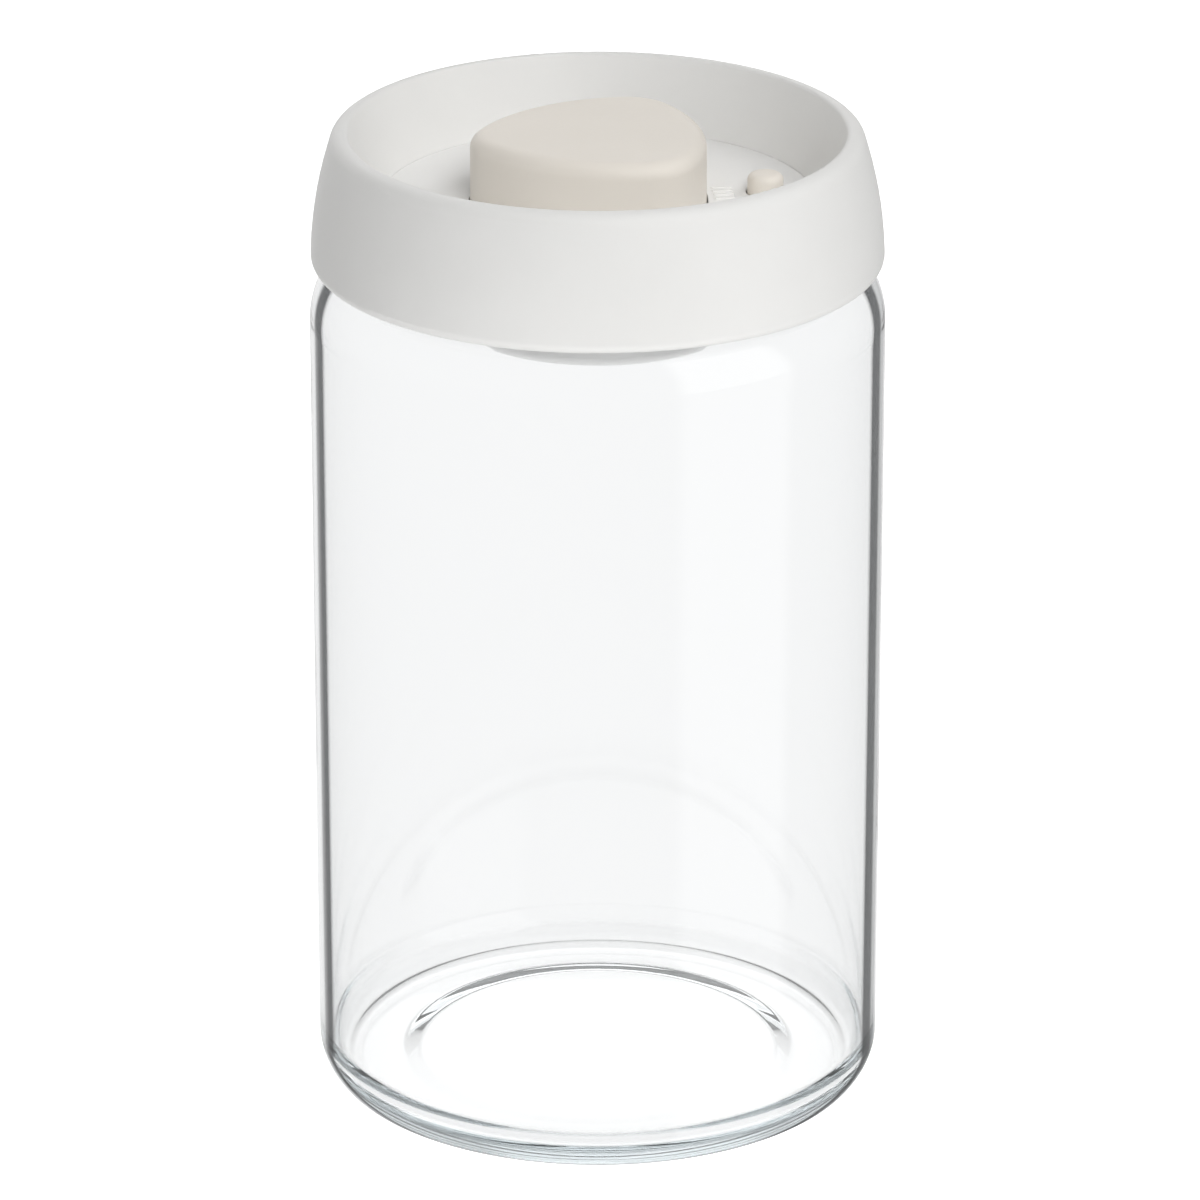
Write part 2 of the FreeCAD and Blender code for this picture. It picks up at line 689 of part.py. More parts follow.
def piston():
    """Disc with a seal groove and a tall tube that holds the spring and meets the button."""
    groove_z = piston_z + PISTON_LAND
    groove_top = piston_top - PISTON_LAND
    groove_radius = piston_radius - PISTON_SEAL_DEPTH
    bolt_radius = PISTON_SCREW_RADIUS + SCREW_GAP
    body = turned([
        (tube_radius, piston_z, 0),
        (piston_radius, piston_z, 0),
        (piston_radius, groove_z, 0),
        (groove_radius, groove_z, 0),
        (groove_radius, groove_top, 0),
        (piston_radius, groove_top, 0),
        (piston_radius, piston_top, 0),
        (pocket_radius, piston_top, 0),
        (pocket_radius, pocket_z, 0),
        (tube_outer, pocket_z, TUBE_ROUND),
        (tube_outer, tube_top, TUBE_ROUND),
        (bolt_radius, tube_top, 0),
        (bolt_radius, tube_ceiling, 0),
        (tube_radius, tube_ceiling, 0),
    ])
    holes = valve_holes(exhaust_cap, EXHAUST_HOLE_COUNT, piston_z, pocket_z)
    return body.cut([moved(hole, exhaust_x, EXHAUST_ANGLE) for hole in holes])


def piston_seal():
    """Rubber ring in the piston's groove."""
    groove_radius = piston_radius - PISTON_SEAL_DEPTH
    low = piston_z + PISTON_LAND + SEAT_GAP
    high = piston_top - PISTON_LAND - SEAT_GAP
    outer = bore_radius - SEAL_GAP
    return turned([
        (groove_radius + SEAT_GAP, low, 0),
        (piston_radius, low, 0),
        (outer, (low + high) / 2, PISTON_SEAL_ROUND),
        (outer, high, PISTON_SEAL_ROUND),
        (groove_radius + SEAT_GAP, high, 0),
    ])


def exhaust_valve():
    """Valve that lets the pumped air out above the piston."""
    return moved(umbrella_valve(exhaust_cap, pocket_z, PISTON_WEB), exhaust_x, EXHAUST_ANGLE)


def pan_screw(radius, head_radius, head_height, length, seat_z, up):
    """Pan-head screw on Z; up is 1 when its shank points up from the seat and -1 when it points down."""
    head_z = seat_z - head_height * up
    tip_z = seat_z + length * up
    screw = turned([
        (0, head_z, 0),
        (head_radius, head_z, SCREW_HEAD_ROUND),
        (head_radius, seat_z, 0),
        (radius, seat_z, 0),
        (radius, tip_z - radius * up, 0),
        (radius / 2, tip_z, 0),
        (0, tip_z, 0),
    ])
    across = head_radius * RECESS_LENGTH_SHARE
    width = head_radius * RECESS_WIDTH_SHARE
    tall = head_height * RECESS_DEPTH_SHARE * 2
    slot = Part.makeBox(across, width, tall, V(-across / 2, -width / 2, head_z - tall / 2))
    return screw.cut(around(slot, [0, FULL_TURN / 4]))


def piston_screw():
    """Screw that joins the piston's tube to the button's boss."""
    return pan_screw(PISTON_SCREW_RADIUS, PISTON_SCREW_HEAD_RADIUS, PISTON_SCREW_HEAD_HEIGHT,
                     PISTON_SCREW_LENGTH, tube_ceiling, 1)


def lid_screws():
    """Screws through the collar's shelf into the plug's bosses."""
    screw = pan_screw(SCREW_RADIUS, SCREW_HEAD_RADIUS, SCREW_HEAD_HEIGHT, SCREW_LENGTH, screw_seat_z, -1)
    return Part.makeCompound(around(moved(screw, screw_circle), screw_angles))


def return_spring():
    """Spring that lifts the pump button."""
    return coil(spring_radius, RETURN_WIRE, cylinder_floor_top, tube_ceiling, RETURN_TURNS)


def release_spring():
    """Spring that holds the release valve shut."""
    middle = STEM_RADIUS + RELEASE_COIL_GAP + RELEASE_WIRE / 2
    return moved(coil(middle, RELEASE_WIRE, guide_top, release_flange_z, RELEASE_TURNS), release_x)


def release_button():
    """Small round button that stands up through the dish floor, with a flange that keeps it in."""
    button = turned([
        (0, release_flange_z, 0),
        (release_flange_radius, release_flange_z, 0),
        (release_flange_radius, release_flange_top, 0),
        (release_radius, release_flange_top, 0),
        (release_radius, release_top, RELEASE_EDGE_ROUND),
        (0, release_top, 0),
    ])
    socket = post(STEM_RADIUS + STEM_GAP, release_flange_z - OVERRUN, stem_top)
    return moved(button.cut(socket), release_x)


def release_stem():
    """Pin between the release button and its seal."""
    return post(STEM_RADIUS, stem_z, stem_top, release_x)


def release_seal():
    """Rubber disc that shuts the release passage from below."""
    disc = turned([
        (STEM_RADIUS + STEM_GAP, release_seal_z, 0),
        (RELEASE_SEAL_RADIUS, release_seal_z, RELEASE_SEAL_ROUND),
        (RELEASE_SEAL_RADIUS, release_seal_top, 0),
        (STEM_RADIUS + STEM_GAP, release_seal_top, 0),
    ])
    return moved(disc, release_x)


def release_clip():
    """Push-on washer that holds the release seal on its stem."""
    washer = turned([
        (STEM_RADIUS + STEM_GAP, clip_z, 0),
        (CLIP_RADIUS, clip_z, 0),
        (CLIP_RADIUS, release_seal_z, 0),
        (STEM_RADIUS + STEM_GAP, release_seal_z, 0),
    ])
    return moved(washer, release_x)


def intake_valve():
    """Valve that lets air in from the jar."""
    return umbrella_valve(intake_cap, cylinder_floor_top, CYLINDER_FLOOR)


PIECES = [
    glass_jar,
    lid_collar,
    dish_floor_plate,
    lid_base,
    main_seal,
    lid_screws,
    pump_cylinder,
    cylinder_gasket,
    intake_valve,
    filter_mesh,
    filter_cap,
    return_spring,
    pump_button,
    piston,
    piston_seal,
    exhaust_valve,
    piston_screw,
    release_button,
    release_stem,
    release_seal,
    release_clip,
    release_spring,
]

os.makedirs("parts", exist_ok=True)
for piece in PIECES:
    shape = piece()
    volume = round(shape.Volume, 1)
    print(piece.__name__, "solids", len(shape.Solids), "valid", shape.isValid(), "volume", volume)
    shape.exportStep("parts/" + piece.__name__ + ".step")
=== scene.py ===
"""Studio scene of a vacuum seal canister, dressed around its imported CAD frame."""

import logging
import math
from dataclasses import dataclass
from enum import Enum
from typing import Callable, Optional, Protocol

import bmesh
import bpy
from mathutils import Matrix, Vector


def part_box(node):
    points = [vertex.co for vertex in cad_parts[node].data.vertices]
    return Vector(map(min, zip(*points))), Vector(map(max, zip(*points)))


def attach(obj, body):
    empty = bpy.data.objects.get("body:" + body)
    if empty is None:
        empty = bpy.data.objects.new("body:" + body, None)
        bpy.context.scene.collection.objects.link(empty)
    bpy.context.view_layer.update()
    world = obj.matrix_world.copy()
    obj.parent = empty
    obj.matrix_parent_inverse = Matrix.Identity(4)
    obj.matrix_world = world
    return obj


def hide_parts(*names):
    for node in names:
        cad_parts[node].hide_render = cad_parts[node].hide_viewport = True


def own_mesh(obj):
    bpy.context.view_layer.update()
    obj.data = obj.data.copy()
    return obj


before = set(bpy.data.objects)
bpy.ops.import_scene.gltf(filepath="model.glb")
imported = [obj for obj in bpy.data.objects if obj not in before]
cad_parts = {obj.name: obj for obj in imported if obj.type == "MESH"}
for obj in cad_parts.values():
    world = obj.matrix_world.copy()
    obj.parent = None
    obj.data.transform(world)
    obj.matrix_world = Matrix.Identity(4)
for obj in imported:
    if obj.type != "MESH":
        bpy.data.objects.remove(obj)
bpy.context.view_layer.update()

LOG = logging.getLogger("canister")
MM = 0.001
MERGE_GAP = 0.002 * MM
PHOTO_PIXELS = 1200
SENSOR_WIDTH = 36.0
# A ray with a diffuse depth below this has met no matt surface
NO_BOUNCE = 0.5
# Radians that a wave texture of scale 1 turns over a metre
WAVE_TURN = 20.0

Colour = tuple[float, float, float]
Point = tuple[float, float, float]


class Body(Enum):
    """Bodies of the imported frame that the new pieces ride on."""

    JAR = "jar"
    LID = "lid"


class Slot(Enum):
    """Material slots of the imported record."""

    GLASS = "clear_glass"
    COLLAR = "collar_white"
    STEEL = "steel"


class Ray(Enum):
    """Kinds of ray that show the studio's surround."""

    CAMERA = "Is Camera Ray"
    GLOSS = "Is Glossy Ray"
    GLASS = "Is Transmission Ray"


class NodeSheet:
    """A shader node tree that is filled node by node."""

    def __init__(self, tree: bpy.types.NodeTree) -> None:
        """Start with an empty tree.

        Args:
            tree: The node tree to fill.
        """
        self.tree = tree
        tree.nodes.clear()

    def add(self, kind: str, **values: object) -> bpy.types.Node:
        """Add a node and set its properties.

        Args:
            kind: Node type without its ShaderNode prefix.
            values: Node properties by name.

        Returns:
            The new node.
        """
        node = self.tree.nodes.new("ShaderNode" + kind)
        for name, value in values.items():
            setattr(node, name, value)
        return node

    def join(self, source: bpy.types.NodeSocket, target: bpy.types.NodeSocket) -> None:
        """Link an output socket to an input socket."""
        self.tree.links.new(source, target)

    def put(self, node: bpy.types.Node, **values: object) -> bpy.types.Node:
        """Set input sockets by their names, with spaces written as underscores.

        Args:
            node: Node whose sockets are set.
            values: A constant or an output socket for each input.

        Returns:
            The same node.
        """
        for name, value in values.items():
            socket = node.inputs[name.replace("_", " ")]
            if isinstance(value, bpy.types.NodeSocket):
                self.join(value, socket)
            else:
                socket.default_value = value
        return node

    def math(self, operation: str, first: object, second: object = 0.0) -> bpy.types.NodeSocket:
        """Add a Math node.

        Args:
            operation: Name of the operation.
            first: First value or output socket.
            second: Second value or output socket.

        Returns:
            The result's output socket.
        """
        node = self.add("Math", operation=operation)
        for socket, value in zip(node.inputs, (first, second)):
            if isinstance(value, bpy.types.NodeSocket):
                self.join(value, socket)
            else:
                socket.default_value = value
        return node.outputs[0]

    def spread(self, value: bpy.types.NodeSocket, low: float, high: float,
               start: float = 0.0, end: float = 1.0, smooth: bool = False) -> bpy.types.NodeSocket:
        """Map a value from one range to another.

        Args:
            value: Output socket to map.
            low: Result at the start.
            high: Result at the end.
            start: Value that gives low.
            end: Value that gives high.
            smooth: Whether the change eases in and out.

        Returns:
            The result's output socket.
        """
        kind = "SMOOTHSTEP" if smooth else "LINEAR"
        node = self.add("MapRange", interpolation_type=kind)
        self.put(node, Value=value, From_Min=start, From_Max=end, To_Min=low, To_Max=high)
        return node.outputs[0]

    def noise(self, size: float, detail: float,
              squeeze: Optional[Point] = None) -> bpy.types.NodeSocket:
        """Add a noise on the piece's own coordinates.

        Args:
            size: Size of the noise's features in metres.
            detail: Number of finer octaves.
            squeeze: Scale of the three axes, where the grain runs one way.

        Returns:
            The noise value's output socket.
        """
        place = self.add("TexCoord").outputs["Object"]
        if squeeze is not None:
            mapping = self.add("Mapping")
            self.put(mapping, Vector=place, Scale=squeeze)
            place = mapping.outputs[0]
        node = self.put(self.add("TexNoise"), Vector=place, Scale=1.0 / size, Detail=detail)
        return node.outputs[0]

    def blend(self, share: bpy.types.NodeSocket,
              first: Colour, second: Colour) -> bpy.types.NodeSocket:
        """Mix two colours by a value.

        Args:
            share: Output socket, 0 for the first colour and 1 for the second.
            first: First colour.
            second: Second colour.

        Returns:
            The mixed colour's output socket.
        """
        return self.ramp(share, ((0.0, first), (1.0, second)))

    def ramp(self, share: bpy.types.NodeSocket,
             stops: tuple[tuple[float, Colour], ...]) -> bpy.types.NodeSocket:
        """Colour that changes along a row of stops.

        Args:
            share: Output socket of the place on the ramp.
            stops: Place and colour of each stop, in order.

        Returns:
            The colour's output socket.
        """
        node = self.add("ValToRGB")
        self.join(share, node.inputs[0])
        row = node.color_ramp.elements
        for _ in stops[2:]:
            row.new(1.0)
        for stop, (place, colour) in zip(row, stops):
            stop.position = place
            stop.color = (*colour, 1.0)
        return node.outputs[0]

    def relief(self, height: bpy.types.NodeSocket,
               depth: float, strength: float) -> bpy.types.NodeSocket:
        """Turn a height into a bumped normal.

        Args:
            height: Output socket of the height.
            depth: Depth of the relief in metres.
            strength: Share of the relief that shows.

        Returns:
            The normal's output socket.
        """
        node = self.put(self.add("Bump"), Height=height, Distance=depth, Strength=strength)
        return node.outputs[0]

    def shade(self, **values: object) -> bpy.types.Node:
        """Add the surface shader and join it to the output.

        Args:
            values: Input sockets of the shader by name.

        Returns:
            The shader node.
        """
        shader = self.put(self.add("BsdfPrincipled"), **values)
        output = self.add("OutputMaterial")
        self.join(shader.outputs[0], output.inputs["Surface"])
        return shader


class Finish(Protocol):
    """Anything that can make a material."""

    name: str

    def draw(self, sheet: NodeSheet) -> None:
        """Fill the material's node tree."""


def material_of(finish: Finish) -> bpy.types.Material:
    """Make a finish's material, or find it where it was made before.

    Args:
        finish: The finish.

    Returns:
        The material.
    """
    found = bpy.data.materials.get("finish_" + finish.name)
    if found is None:
        found = bpy.data.materials.new("finish_" + finish.name)
        found.use_nodes = True
        finish.draw(NodeSheet(found.node_tree))
    return found


@dataclass(frozen=True)
class ClearGlass:
    """Clear pressed glass with a painted shade line a little way in from its outline.

    The skin's colour runs from the face over the painted shade line to a paler painted shade at the
    rim, by how far it turns edgewise.
    Sizes are in metres.
    """

    name: str = "clear_glass"
    ior: float = 1.5
    face_tint: Colour = (0.992, 0.994, 0.995)
    # Painted shade of the dark line a little way in from the outline
    painted_shade_line: Colour = (0.018, 0.019, 0.020)
    # Painted shade of the paler grey rim at the outline
    painted_rim_shade: Colour = (0.62, 0.625, 0.63)
    line_rise: tuple[float, float] = (0.677, 0.712)
    line_fall: tuple[float, float] = (0.801, 0.839)
    least_level: float = 0.05
    foot_haze: float = 0.15
    foot_top: tuple[float, float] = (0.0035, 0.0055)
    foot_ring: tuple[float, float] = (0.046, 0.050)
    ripple_size: float = 0.03
    ripple_depth: float = 0.00002
    ripple_detail: float = 1.0
    ripple_strength: float = 1.0
    body_tint: Colour = (0.79, 0.82, 0.83)
    body_density: float = 30.0

    def draw(self, sheet: NodeSheet) -> None:
        """Tinted refraction with a faint mould ripple, painted shade along the outer skin's outline and
        a stippled foot.

        Args:
            sheet: Node tree to fill.
        """
        # Painted shade: a dark line near the outline and a paler grey rim at it, laid into the glass
        # colour by how edgewise the outer skin turns
        tint_and_painted_edge = sheet.ramp(sheet.math("MULTIPLY", self.edgewise(sheet), self.outer_skin(sheet)), (
            (self.line_rise[0], self.face_tint),
            (self.line_rise[1], self.painted_shade_line),
            (self.line_fall[0], self.painted_shade_line),
            (self.line_fall[1], self.painted_rim_shade),
        ))
        waves = sheet.noise(self.ripple_size, self.ripple_detail)
        shader = sheet.shade(
            Base_Color=tint_and_painted_edge,
            Normal=sheet.relief(waves, self.ripple_depth, self.ripple_strength),
            Transmission_Weight=self.clearness(sheet),
        )
        sheet.put(shader, IOR=self.ior, Roughness=0.0)
        body = sheet.add("VolumeAbsorption")
        sheet.put(body, Color=(*self.body_tint, 1.0), Density=self.body_density)
        output = shader.outputs[0].links[0].to_node
        sheet.join(body.outputs[0], output.inputs["Volume"])

    def edgewise(self, sheet: NodeSheet) -> bpy.types.NodeSocket:
        """How far the skin turns edgewise about the upright axis, from whatever height it is seen.

        Args:
            sheet: Node tree that asks.

        Returns:
            Output socket that is 0 where the skin faces the eye and 1 at the outline.
        """
        outward = sheet.add("VectorMath", operation="NORMALIZE")
        sheet.join(self.from_axis(sheet), outward.inputs[0])
        upright = sheet.put(sheet.add("CombineXYZ"), Z=1.0)
        skin = self.facing(sheet)
        wall = self.facing(sheet, outward.outputs[0])
        lift = self.facing(sheet, upright.outputs[0])
        # The level part of the line of sight, so that the painted shade line keeps its width in steep
        # views
        level = sheet.math("SUBTRACT", 1.0, sheet.math("MULTIPLY", lift, lift))
        level = sheet.math("SQRT", sheet.math("MAXIMUM", level, self.least_level))
        # Over the shoulder the painted shade line runs midway between the outline and a straight course
        between = sheet.math("DIVIDE", sheet.math("ADD", skin, wall), 2.0)
        side_on = sheet.math("MINIMUM", skin, between)
        return sheet.math("SUBTRACT", 1.0, sheet.math("DIVIDE", side_on, level))

    @staticmethod
    def facing(sheet: NodeSheet,
               normal: Optional[bpy.types.NodeSocket] = None) -> bpy.types.NodeSocket:
        """How squarely a direction meets the line of sight.

        Args:
            sheet: Node tree that asks.
            normal: Output socket of the direction, or nothing for the skin's own.

        Returns:
            Output socket that is 1 along the line of sight and 0 square to it.
        """
        weight = sheet.add("LayerWeight")
        if normal is not None:
            sheet.put(weight, Normal=normal)
        return sheet.math("SUBTRACT", 1.0, weight.outputs["Facing"])

    def clearness(self, sheet: NodeSheet) -> bpy.types.NodeSocket:
        """Share of light that goes through, which is less on the stippled ring that the jar stands on.

        Args:
            sheet: Node tree that asks.

        Returns:
            Output socket of the share.
        """
        split = sheet.add("SeparateXYZ")
        sheet.join(sheet.add("TexCoord").outputs["Object"], split.inputs[0])
        reach = sheet.add("VectorMath", operation="LENGTH")
        sheet.join(self.from_axis(sheet), reach.inputs[0])
        low = sheet.spread(split.outputs["Z"], self.foot_haze, 0.0, *self.foot_top, smooth=True)
        ring = sheet.spread(reach.outputs["Value"], 0.0, 1.0, *self.foot_ring, smooth=True)
        return sheet.math("SUBTRACT", 1.0, sheet.math("MULTIPLY", low, ring))

    @staticmethod
    def from_axis(sheet: NodeSheet) -> bpy.types.NodeSocket:
        """Vector from the jar's axis, level with the point.

        Args:
            sheet: Node tree that asks.

        Returns:
            Output socket of the vector.
        """
        level = sheet.add("VectorMath", operation="MULTIPLY")
        sheet.join(sheet.add("TexCoord").outputs["Object"], level.inputs[0])
        level.inputs[1].default_value = (1.0, 1.0, 0.0)
        return level.outputs[0]

    def outer_skin(self, sheet: NodeSheet) -> bpy.types.NodeSocket:
        """Whether light meets the skin that faces away from the jar's axis, from outside.

        Args:
            sheet: Node tree that asks.

        Returns:
            Output socket that is 1 there and 0 elsewhere.
        """
        geometry = sheet.add("NewGeometry")
        along = sheet.add("VectorMath", operation="DOT_PRODUCT")
        sheet.join(self.from_axis(sheet), along.inputs[0])
        sheet.join(geometry.outputs["Normal"], along.inputs[1])
        outward = sheet.math("GREATER_THAN", along.outputs["Value"], 0.0)
        entering = sheet.math("SUBTRACT", 1.0, geometry.outputs["Backfacing"])
        return sheet.math("MULTIPLY", outward, entering)


@dataclass(frozen=True)
class MouldedPlastic:
    """Opaque moulded plastic with a spark-eroded grain, its sizes in metres."""

    name: str
    colour: Colour
    shade: Colour
    roughness: float = 0.5
    roughness_swing: float = 0.06
    grain_size: float = 0.0006
    grain_depth: float = 0.00003
    grain_detail: float = 2.0
    grain_strength: float = 0.5
    cloud_size: float = 0.022
    cloud_detail: float = 3.0
    noise_span: tuple[float, float] = (0.3, 0.7)

    def draw(self, sheet: NodeSheet) -> None:
        """Two close tones in soft clouds over a fine even grain.

        Args:
            sheet: Node tree to fill.
        """
        clouds = sheet.noise(self.cloud_size, self.cloud_detail)
        grain = sheet.noise(self.grain_size, self.grain_detail)
        patches = sheet.spread(clouds, 0.0, 1.0, *self.noise_span)
        low = self.roughness - self.roughness_swing
        high = self.roughness + self.roughness_swing
        sheet.shade(
            Base_Color=sheet.blend(patches, self.colour, self.shade),
            Roughness=sheet.spread(grain, low, high, *self.noise_span),
            Normal=sheet.relief(grain, self.grain_depth, self.grain_strength),
        )


@dataclass(frozen=True)
class SiliconeRubber:
    """Milky rubber of the seals and valves, its sizes in metres."""

    name: str = "silicone"
    colour: Colour = (0.62, 0.62, 0.60)
    shade: Colour = (0.54, 0.54, 0.53)
    roughness: float = 0.38
    roughness_rise: float = 0.2
    glow: float = 0.12
    glow_depth: float = 0.0012
    bloom_size: float = 0.006
    bloom_detail: float = 4.0
    grain_size: float = 0.0004
    grain_depth: float = 0.00001
    grain_detail: float = 1.0
    grain_strength: float = 0.4

    def draw(self, sheet: NodeSheet) -> None:
        """Soft matt rubber with a patchy bloom.

        Args:
            sheet: Node tree to fill.
        """
        bloom = sheet.noise(self.bloom_size, self.bloom_detail)
        grain = sheet.noise(self.grain_size, self.grain_detail)
        shader = sheet.shade(
            Base_Color=sheet.blend(bloom, self.colour, self.shade),
            Roughness=sheet.spread(bloom, self.roughness, self.roughness + self.roughness_rise),
            Normal=sheet.relief(grain, self.grain_depth, self.grain_strength),
        )
        sheet.put(shader, Subsurface_Weight=self.glow, Subsurface_Scale=self.glow_depth)


@dataclass(frozen=True)
class DrawnSteel:
    """Bright steel wire and screws, sizes in metres."""

    name: str = "steel"
    colour: Colour = (0.62, 0.62, 0.63)
    shade: Colour = (0.50, 0.50, 0.52)
    roughness: float = 0.22
    roughness_rise: float = 0.16
    streak_size: float = 0.0008
    streak_detail: float = 3.0
    streak_squeeze: Point = (1.0, 1.0, 0.15)
    streak_depth: float = 0.000008
    streak_strength: float = 0.4

    def draw(self, sheet: NodeSheet) -> None:
        """Metal with faint drawing lines.

        Args:
            sheet: Node tree to fill.
        """
        streaks = sheet.noise(self.streak_size, self.streak_detail, self.streak_squeeze)
        shader = sheet.shade(
            Base_Color=sheet.blend(streaks, self.colour, self.shade),
            Roughness=sheet.spread(streaks, self.roughness, self.roughness + self.roughness_rise),
            Normal=sheet.relief(streaks, self.streak_depth, self.streak_strength),
        )
        sheet.put(shader, Metallic=1.0)


@dataclass(frozen=True)
class WovenSteel:
    """Fine square weave of the filter, sizes in metres."""

    name: str = "woven_steel"
    wire: Colour = (0.60, 0.60, 0.60)
    # Painted shade in the openings between the wires
    gap: Colour = (0.06, 0.06, 0.065)
    pitch: float = 0.0012
    depth: float = 0.0001
    strength: float = 0.8
    wire_edge: tuple[float, float] = (0.35, 0.6)
    roughness: float = 0.34
    roughness_rise: float = 0.2
    dust_size: float = 0.003
    dust_detail: float = 2.0
    metal_share: float = 0.85

    def draw(self, sheet: NodeSheet) -> None:
        """Wires that cross at right angles, with painted shade in the gaps between them.

        Args:
            sheet: Node tree to fill.
        """
        place = sheet.add("TexCoord").outputs["Object"]
        waves = []
        for direction in ("X", "Y"):
            wave = sheet.add("TexWave", bands_direction=direction)
            sheet.put(wave, Vector=place, Scale=math.tau / (WAVE_TURN * self.pitch), Distortion=0.0)
            waves.append(wave.outputs["Fac"])
        height = sheet.math("MAXIMUM", *waves)
        cover = sheet.spread(height, 0.0, 1.0, *self.wire_edge, smooth=True)
        dust = sheet.noise(self.dust_size, self.dust_detail)
        # The gaps of the weave get painted shade, a dark colour where the openings would be
        shader = sheet.shade(
            Base_Color=sheet.blend(cover, self.gap, self.wire),
            Roughness=sheet.spread(dust, self.roughness, self.roughness + self.roughness_rise),
            Normal=sheet.relief(height, self.depth, self.strength),
        )
        sheet.put(shader, Metallic=self.metal_share)


GLASS = ClearGlass()
COLLAR_WHITE = MouldedPlastic("collar_white", (0.800, 0.797, 0.782), (0.780, 0.777, 0.762))
BUTTON_BEIGE = MouldedPlastic("button_beige", (0.815, 0.768, 0.700), (0.795, 0.748, 0.680),
                              roughness=0.46, grain_depth=0.00002)
DISH_WHITE = MouldedPlastic("dish_white", (0.860, 0.856, 0.842), (0.840, 0.836, 0.822))
INNER_WHITE = MouldedPlastic("inner_white", (0.930, 0.930, 0.922), (0.910, 0.910, 0.902),
                             roughness=0.42, grain_depth=0.000015)
SILICONE = SiliconeRubber()
STEEL = DrawnSteel()
FILTER_STEEL = WovenSteel()


class Bench:
    """Modelling steps that are done by operators, on one object at a time."""

    @staticmethod
    def clear() -> None:
        """Leave edit mode and deselect everything."""
        if bpy.context.mode != "OBJECT":
            bpy.ops.object.mode_set(mode="OBJECT")
        bpy.ops.object.select_all(action="DESELECT")

    @staticmethod
    def edit() -> None:
        """Enter edit mode on the active object."""
        bpy.ops.object.mode_set(mode="EDIT")

    @staticmethod
    def pick_edges(test: Callable[[bmesh.types.BMEdge], bool]) -> None:
        """Select the edges that pass a test, in edit mode.

        Args:
            test: Says whether an edge is selected.
        """
        bpy.ops.mesh.select_all(action="DESELECT")
        bpy.ops.mesh.select_mode(type="EDGE")
        mesh = bpy.context.edit_object.data
        shape = bmesh.from_edit_mesh(mesh)
        for edge in shape.edges:
            if test(edge):
                edge.select_set(True)
        shape.select_flush_mode()
        bmesh.update_edit_mesh(mesh)

    @staticmethod
    def merge() -> None:
        """Merge the doubled vertices of the whole mesh, in edit mode."""
        bpy.ops.mesh.select_all(action="SELECT")
        bpy.ops.mesh.remove_doubles(threshold=MERGE_GAP)

    @staticmethod
    def settle(name: str) -> bpy.types.Object:
        """Apply the active object's place and turn to its mesh, and name it.

        Args:
            name: The piece's name.

        Returns:
            The object, at the origin.
        """
        if bpy.context.mode != "OBJECT":
            bpy.ops.object.mode_set(mode="OBJECT")
        bpy.ops.object.transform_apply(location=True, rotation=True, scale=True)
        piece = bpy.context.active_object
        piece.name = name
        piece.data.name = name
        return piece


@dataclass(frozen=True)
class Corner:
    """A corner of a turned profile: radius, height and the round on it, in millimetres."""

    radius: float
    height: float
    round: float = 0.0


@dataclass(frozen=True)
class Lathe:
    """Turns a profile of rounded corners into a smooth closed skin."""

    corners: tuple[Corner, ...]
    steps: int = 192
    arc_step: float = 5.0

    def line(self) -> list[tuple[float, float]]:
        """Points along the profile, with each round sampled.

        Returns:
            Radius and height pairs in millimetres.
        """
        points: list[tuple[float, float]] = []
        last = len(self.corners) - 1
        for index, corner in enumerate(self.corners):
            spot = Vector((corner.radius, corner.height))
            if corner.round == 0.0 or index in (0, last):
                points.append(tuple(spot))
                continue
            before, after = self.corners[index - 1], self.corners[index + 1]
            back = (Vector((before.radius, before.height)) - spot).normalized()
            ahead = (Vector((after.radius, after.height)) - spot).normalized()
            half = back.angle(ahead) / 2.0
            reach = corner.round / math.tan(half)
            inward = (back + ahead).normalized()
            middle = spot + inward * (corner.round / math.sin(half))
            start, end = spot + back * reach - middle, spot + ahead * reach - middle
            turn = start.angle_signed(end)
            count = max(2, math.ceil(abs(math.degrees(turn)) / self.arc_step))
            for step in range(count + 1):
                angle = -turn * step / count
                cosine, sine = math.cos(angle), math.sin(angle)
                points.append((middle.x + start.x * cosine - start.y * sine,
                               middle.y + start.x * sine + start.y * cosine))
        return points

    def turn(self, name: str) -> bpy.types.Object:
        """Extrude a vertex along the profile and spin it about the upright axis.

        Args:
            name: The piece's name.

        Returns:
            The turned piece.
        """
        points = [Vector((radius * MM, 0.0, height * MM)) for radius, height in self.line()]
        Bench.clear()
        bpy.ops.mesh.primitive_plane_add(size=MM, location=points[0])
        Bench.edit()
        bpy.ops.mesh.merge(type="CENTER")
        for here, there in zip(points, points[1:]):
            bpy.ops.mesh.extrude_vertices_move(TRANSFORM_OT_translate={"value": tuple(there - here)})
        bpy.ops.mesh.select_all(action="SELECT")
        bpy.ops.mesh.spin(
            steps=self.steps, angle=math.tau, center=(0.0, 0.0, 0.0), axis=(0.0, 0.0, 1.0),
        )
        Bench.merge()
        bpy.ops.mesh.normals_make_consistent(inside=False)
        piece = Bench.settle(name)
        bpy.ops.object.shade_smooth()
        return piece


def dress(finish: Finish, *nodes: str) -> None:
    """Give nodes of the frame a finish.

    Args:
        finish: The finish.
        nodes: Names of the nodes.
    """
    made = material_of(finish)
    for node in nodes:
        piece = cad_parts[node]
        if not piece.material_slots:
            piece.data.materials.append(made)
        for slot in piece.material_slots:
            slot.material = made
        LOG.info("dressed %s in %s", node, finish.name)


def fit_piece(piece: bpy.types.Object, body: Body, finish: Finish) -> None:
    """Give a new piece its finish and the body that it rides on.

    Args:
        piece: The new piece.
        body: Body of the frame that carries it.
        finish: Its finish.
    """
    piece.data.materials.clear()
    piece.data.materials.append(material_of(finish))
    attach(piece, body.value)
    LOG.info("built %s, %d faces, on %s", piece.name, len(piece.data.polygons), body.value)


